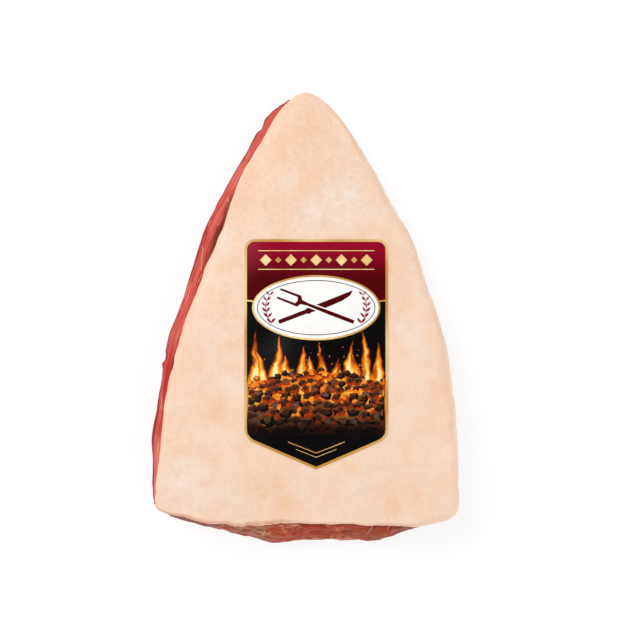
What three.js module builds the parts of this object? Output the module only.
// Whole top sirloin cap (picanha), raw, lying on its lean side with the fat cap up.
// Millimetres. +Z is up, +Y runs to the pointed end, +X to the right seen from above.
// The origin is under the middle of the piece, on the surface that it lies on.

import * as THREE from 'three';

// ---- driving dimensions ---------------------------------------------------

const APEX_Y = 134.9; // pointed end of the fat cap
const FAT_BASE_Y = -124.6; // blunt end of the fat cap, at its middle
const MEAT_BASE_Y = -134.8; // lean meat stands out past the fat at the blunt end

// Each side of the fat cap: x = x0 +- (half * sin(pi t / 2)^power + three slow waves
// + one shallow swell a third of the way down), t = 0 at the pointed end, 1 at the blunt one.
const RIGHT = { sign: 1, x0: -0.25, half: 94.2, power: 0.576, waves: [-2.2, -1.8, 0.3], swell: 2.9, at: 0.338, wide: 0.076 };
const LEFT = { sign: -1, x0: -6.95, half: 86.2, power: 0.9, waves: [1.6, 0.3, 1.4], swell: -1.6, at: 0.323, wide: 0.06 };
const POINT_BLUNT = 4; // softening of the pointed end
const CORNER_LEFT = 4; // softening of the two blunt-end corners
const CORNER_RIGHT = 11;

const HEIGHT_POINT = 21; // overall height near the pointed end
const HEIGHT_FULL = 47; // overall height of the thick end
const CROWN = 0.13; // share of the height lost from the middle to the sides

const FAT_MIDDLE = 10.5; // thickness of the fat cap
const FAT_POINT = 7.5;
const FAT_RIGHT_RIM = 15; // the cap wraps down further along its right side
const RIM_ROUND_LEFT = 4.2; // rounding of the cap's upper edge
const RIM_ROUND_RIGHT = 8.5;
const RIM_UNDER = 1.8; // rounding of the cap's lower edge

const GAP = 0.4; // between pieces that touch
const OVERHANG = 2.6; // of the fat past the lean, at the right and the point
const TUCK = 1.2; // the lean's upper rim sits this far inside the fat's lower edge
const WIDEST = 0.66; // share of the wall's height, from the top, where the lean is widest
const FOOT = 5.5; // how far the lean turns back in to its flat underside

const LABEL_W = 86.4;
const LABEL_TOP_Y = 46.6;
const LABEL_BOTTOM_Y = -91.8;
const LABEL_X = 6.45; // its middle
const LABEL_CORNER = 6;
const LABEL_POINT = 18; // depth of its pointed lower end
const LABEL_THICK = 0.4;
const LABEL_GAP = 0.3;

const MIDDLE = [0.053, -0.637]; // of the whole plan, which the origin is put under
const CENTRE = [0, -35]; // the rings are drawn round this point
const AROUND = 100; // points round each ring
const TOP_RINGS = 9;
const LOW_RINGS = 7;

// ---- small helpers ----------------------------------------------------------

const clamp = (v, a = 0, b = 1) => Math.min(b, Math.max(a, v));
const ramp = (v, a, b) => {
  const k = clamp((v - a) / (b - a));
  return k * k * (3 - 2 * k);
};
const hump = (v, at, wide) => Math.exp(-(((v - at) / wide) ** 2));
const softMax = (a, b, k) => {
  const h = Math.max(k - Math.abs(a - b), 0) / k;
  return Math.max(a, b) + (h * h * k) / 4;
};

// ---- plan outlines ------------------------------------------------------------

const along = (y) => (APEX_Y - y) / (APEX_Y - FAT_BASE_Y);

function side(s, y) {
  const t = clamp(along(y), 0, 1.04);
  const rise = Math.sin((Math.PI / 2) * Math.min(t, 1)) ** s.power;
  const waves = s.waves.reduce((sum, w, i) => sum + w * Math.sin((i + 2) * Math.PI * Math.min(t, 1)), 0);
  return s.x0 + s.sign * (s.half * rise + waves + s.swell * hump(t, s.at, s.wide));
}

const fatBase = (x) =>
  FAT_BASE_Y + 0.7 - 0.018 * x + 7.8 * ramp(x, -50, -97) + 2 * hump(x, -20, 10) + 3.2 * ramp(x, 62, 96);

// How far the lean stands out past the fat along the left side.
const leftStep = (y) => {
  const t = along(y);
  const swells = 6.6 * hump(t, 0.322, 0.11) + 2.3 * hump(t, 0.56, 0.07) + 1.1 * hump(t, 0.775, 0.045);
  return (4.9 * ramp(t, -0.01, 0.05) + swells - 2 * ramp(t, 0.8, 0.9)) * (1 - 0.9 * ramp(t, 0.9, 0.99));
};

const meatBase = (x) =>
  MEAT_BASE_Y +
  0.4 +
  0.16 * Math.max(0, -22 - x) +
  0.0013 * Math.max(0, -22 - x) ** 2 -
  1.7 * hump(x, -21, 8) +
  0.33 * Math.max(0, x - 45);

const outside = {
  fat: (x, y) =>
    softMax(
      softMax(softMax(x - side(RIGHT, y), side(LEFT, y) - x, 2), y - APEX_Y, POINT_BLUNT),
      fatBase(x) - y,
      x > 0 ? CORNER_RIGHT : CORNER_LEFT,
    ),
  meat: (x, y) =>
    softMax(
      softMax(
        softMax(x - side(RIGHT, y + OVERHANG) + OVERHANG, side(LEFT, y) - leftStep(y) - x, 2),
        y - APEX_Y + OVERHANG,
        POINT_BLUNT,
      ),
      Math.min(meatBase(x), fatBase(x) + 1.5) - y,
      x > 0 ? CORNER_RIGHT : CORNER_LEFT,
    ),
};

function reach(which, angle) {
  const [cx, cy] = CENTRE;
  let lo = 20;
  let hi = 260;
  for (let i = 0; i < 44; i++) {
    const mid = (lo + hi) / 2;
    if (outside[which](cx + mid * Math.cos(angle), cy + mid * Math.sin(angle)) < 0) lo = mid;
    else hi = mid;
  }
  return (lo + hi) / 2;
}

// Angles spaced by length of edge, and closer together round the corners.
function spacedAngles(count) {
  const fine = 1800;
  const points = [];
  for (let i = 0; i <= fine; i++) {
    const a = (i / fine) * 2 * Math.PI;
    const r = reach('fat', a);
    points.push([r * Math.cos(a), r * Math.sin(a)]);
  }
  const heading = (i) => {
    const p = points[(i + fine - 1) % fine];
    const q = points[(i + 1) % fine];
    return Math.atan2(q[1] - p[1], q[0] - p[0]);
  };
  const total = [0];
  for (let i = 1; i <= fine; i++) {
    const step = Math.hypot(points[i][0] - points[i - 1][0], points[i][1] - points[i - 1][1]);
    let turn = heading(i % fine) - heading(i - 1);
    turn = Math.abs(Math.atan2(Math.sin(turn), Math.cos(turn)));
    total.push(total[i - 1] + step + 22 * turn);
  }
  const angles = [];
  let j = 0;
  for (let n = 0; n < count; n++) {
    const want = (n / count) * total[fine];
    while (total[j + 1] < want) j++;
    const f = (want - total[j]) / (total[j + 1] - total[j]);
    angles.push(((j + f) / fine) * 2 * Math.PI);
  }
  return angles;
}

const angles = spacedAngles(AROUND);
const fatReach = angles.map((a) => reach('fat', a));
const meatReach = angles.map((a) => reach('meat', a));

// ---- heights --------------------------------------------------------------------

// The cap's upper surface without its rounded edge.
function crown(x, y) {
  const t = clamp(along(y), 0, 1);
  const middle = HEIGHT_POINT + (HEIGHT_FULL - HEIGHT_POINT) * Math.sin((Math.PI / 2) * t ** 0.85) ** 1.15;
  const half = Math.max(18, (side(RIGHT, y) - side(LEFT, y)) / 2);
  const across = clamp((x - (side(RIGHT, y) + side(LEFT, y)) / 2) / half, -1.1, 1.1);
  const uneven =
    0.55 * Math.sin(x / 19 + 0.6) * Math.cos(y / 26) + 0.4 * Math.sin(x / 11 - y / 17) * ramp(t, 0.05, 0.3);
  return middle * (1 - CROWN * across * across) - 3.2 * ramp(t, 0.86, 1) + uneven;
}

// Weight of the right-hand side, 0 at the left edge and 1 at the right one.
const rightness = (x, y) => ramp(x, 25, Math.max(40, side(RIGHT, y)));

const fatThick = (x, y) => {
  const t = clamp(along(y), 0, 1);
  const plain = FAT_POINT + (FAT_MIDDLE - FAT_POINT) * ramp(t, 0, 0.45);
  return plain + (FAT_RIGHT_RIM - FAT_MIDDLE) * rightness(x, y) * ramp(t, 0.12, 0.4) * (1 - 0.6 * ramp(t, 0.9, 1));
};

const seam = (x, y) => crown(x, y) - fatThick(x, y); // where the lean meets the fat

// ---- meshes from rings ------------------------------------------------------------

const at = (angle, r) => [CENTRE[0] + r * Math.cos(angle), CENTRE[1] + r * Math.sin(angle)];

// A closed body from a stack of rings, from the middle of its underside, out,
// up the wall and in to the middle of its top. The first turned rings are split
// the other way, so that the fat's underside follows the lean's top facet by facet.
function ringBody(underMiddle, rings, topMiddle, turned = 0) {
  const position = [...underMiddle];
  for (const ring of rings) for (const p of ring) position.push(...p);
  position.push(...topMiddle);
  const index = [];
  const n = AROUND;
  const id = (r, i) => 1 + r * n + (i % n);
  const last = 1 + rings.length * n;
  for (let i = 0; i < n; i++) {
    index.push(0, id(0, i + 1), id(0, i));
    for (let r = 0; r + 1 < rings.length; r++) {
      if (r < turned) {
        index.push(id(r, i), id(r, i + 1), id(r + 1, i));
        index.push(id(r, i + 1), id(r + 1, i + 1), id(r + 1, i));
      } else {
        index.push(id(r, i), id(r, i + 1), id(r + 1, i + 1));
        index.push(id(r, i), id(r + 1, i + 1), id(r + 1, i));
      }
    }
    index.push(id(rings.length - 1, i), id(rings.length - 1, i + 1), last);
  }
  const geometry = new THREE.BufferGeometry();
  geometry.setAttribute('position', new THREE.Float32BufferAttribute(position, 3));
  geometry.setIndex(index);
  geometry.computeVertexNormals();
  return geometry;
}

const ringOf = (fn) => angles.map((angle, i) => fn(angle, i));

// The lean's upper rim, under the fat's lower edge.
const rimReach = fatReach.map((r) => r - RIM_UNDER - TUCK);

// ---- the lean meat -------------------------------------------------------------------

function leanGeometry() {
  const rings = [];
  const foot = meatReach.map((r) => r - FOOT);
  for (const share of [0.5, 1]) {
    rings.push(ringOf((a, i) => [...at(a, foot[i] * share), 0]));
  }
  // wall: from the foot, out to the widest line, and back in to the rim
  const steps = 7;
  for (let k = 1; k <= steps; k++) {
    const w = 1 - k / (steps + 1); // 1 at the foot, 0 at the rim
    rings.push(
      ringOf((a, i) => {
        const rim = seam(...at(a, rimReach[i]));
        const z = rim * (1 - w);
        const out = meatReach[i];
        let r;
        if (w > WIDEST) {
          const q = (w - WIDEST) / (1 - WIDEST);
          r = out - FOOT * (1 - Math.sqrt(1 - q * q));
        } else {
          const q = 1 - w / WIDEST;
          r = out + (rimReach[i] - out) * q ** 1.5;
        }
        const [x, y] = at(a, r);
        const folds = 0.5 * Math.sin(z / 4.1 + x / 17) * Math.sin(Math.PI * w);
        return [...at(a, r + folds), z];
      }),
    );
  }
  rings.push(ringOf((a, i) => [...at(a, rimReach[i]), seam(...at(a, rimReach[i]))]));
  for (let k = LOW_RINGS - 1; k >= 1; k--) {
    rings.push(
      ringOf((a, i) => {
        const p = at(a, (rimReach[i] * k) / LOW_RINGS);
        return [...p, seam(...p)];
      }),
    );
  }
  return ringBody([...CENTRE, 0], rings, [...CENTRE, seam(...CENTRE)]);
}

// ---- the fat cap ----------------------------------------------------------------------

function fatGeometry() {
  const rings = [];
  for (let k = 1; k <= LOW_RINGS; k++) {
    rings.push(
      ringOf((a, i) => {
        const p = at(a, (rimReach[i] * k) / LOW_RINGS);
        return [...p, seam(...p) + GAP];
      }),
    );
  }
  const under = (a, i) => {
    const p = at(a, fatReach[i] - RIM_UNDER);
    return seam(...p) + GAP;
  };
  rings.push(ringOf((a, i) => [...at(a, fatReach[i] - RIM_UNDER), under(a, i)]));
  rings.push(ringOf((a, i) => [...at(a, fatReach[i]), under(a, i) + RIM_UNDER]));
  const rounding = (a, i) => {
    const [x, y] = at(a, fatReach[i]);
    const room = crown(x, y) - under(a, i) - RIM_UNDER - 0.6;
    return Math.min(room, RIM_ROUND_LEFT + (RIM_ROUND_RIGHT - RIM_ROUND_LEFT) * rightness(x, y));
  };
  const arc = 4;
  for (let k = 0; k <= arc; k++) {
    const b = ((Math.PI / 2) * k) / arc;
    rings.push(
      ringOf((a, i) => {
        const round = rounding(a, i);
        const p = at(a, fatReach[i] - round * (1 - Math.cos(b)));
        return [...p, crown(...p) - round * (1 - Math.sin(b))];
      }),
    );
  }
  for (let k = TOP_RINGS - 1; k >= 1; k--) {
    rings.push(
      ringOf((a, i) => {
        const p = at(a, ((fatReach[i] - rounding(a, i)) * k) / TOP_RINGS);
        return [...p, crown(...p)];
      }),
    );
  }
  return ringBody([...CENTRE, seam(...CENTRE) + GAP], rings, [...CENTRE, crown(...CENTRE)], LOW_RINGS);
}

// ---- the label ---------------------------------------------------------------------------

function labelGeometry() {
  const cols = 16;
  const rows = 18;
  const halfW = LABEL_W / 2;
  const upper = (x) => {
    const d = halfW - Math.abs(x);
    return d < LABEL_CORNER
      ? LABEL_TOP_Y - (LABEL_CORNER - Math.sqrt(LABEL_CORNER ** 2 - (LABEL_CORNER - d) ** 2))
      : LABEL_TOP_Y;
  };
  const lower = (x) => LABEL_BOTTOM_Y + LABEL_POINT * (Math.abs(x) / halfW) ** 1.15;
  const position = [];
  for (const lift of [LABEL_GAP, LABEL_GAP + LABEL_THICK]) {
    for (let i = 0; i <= cols; i++) {
      const x = -halfW * Math.cos((Math.PI * i) / cols); // closer together at the rounded corners
      for (let j = 0; j <= rows; j++) {
        const y = lower(x) + ((upper(x) - lower(x)) * j) / rows;
        position.push(LABEL_X + x, y, crown(LABEL_X + x, y) + lift);
      }
    }
  }
  const id = (level, i, j) => level * (cols + 1) * (rows + 1) + i * (rows + 1) + j;
  const index = [];
  const quad = (a, b, c, d) => index.push(a, b, c, a, c, d);
  for (let i = 0; i < cols; i++) {
    for (let j = 0; j < rows; j++) {
      quad(id(1, i, j), id(1, i + 1, j), id(1, i + 1, j + 1), id(1, i, j + 1));
      quad(id(0, i, j), id(0, i, j + 1), id(0, i + 1, j + 1), id(0, i + 1, j));
    }
    quad(id(0, i, 0), id(0, i + 1, 0), id(1, i + 1, 0), id(1, i, 0));
    quad(id(0, i + 1, rows), id(0, i, rows), id(1, i, rows), id(1, i + 1, rows));
  }
  for (let j = 0; j < rows; j++) {
    quad(id(0, 0, j + 1), id(0, 0, j), id(1, 0, j), id(1, 0, j + 1));
    quad(id(0, cols, j), id(0, cols, j + 1), id(1, cols, j + 1), id(1, cols, j));
  }
  const geometry = new THREE.BufferGeometry();
  geometry.setAttribute('position', new THREE.Float32BufferAttribute(position, 3));
  geometry.setIndex(index);
  geometry.computeVertexNormals();
  return geometry;
}

// ---- the piece -----------------------------------------------------------------------------

function piece(name, geometry, color, roughness) {
  const mesh = new THREE.Mesh(geometry, new THREE.MeshStandardMaterial({ color, roughness, metalness: 0 }));
  mesh.name = name;
  return mesh;
}

const picanha = new THREE.Group();
picanha.add(piece('meat', leanGeometry(), 0xb4443c, 0.4));
picanha.add(piece('fat_cap', fatGeometry(), 0xf7d8bd, 0.5));
picanha.add(piece('label', labelGeometry(), 0x7a1326, 0.35));
picanha.position.set(-MIDDLE[0], -MIDDLE[1], 0);

export default picanha;
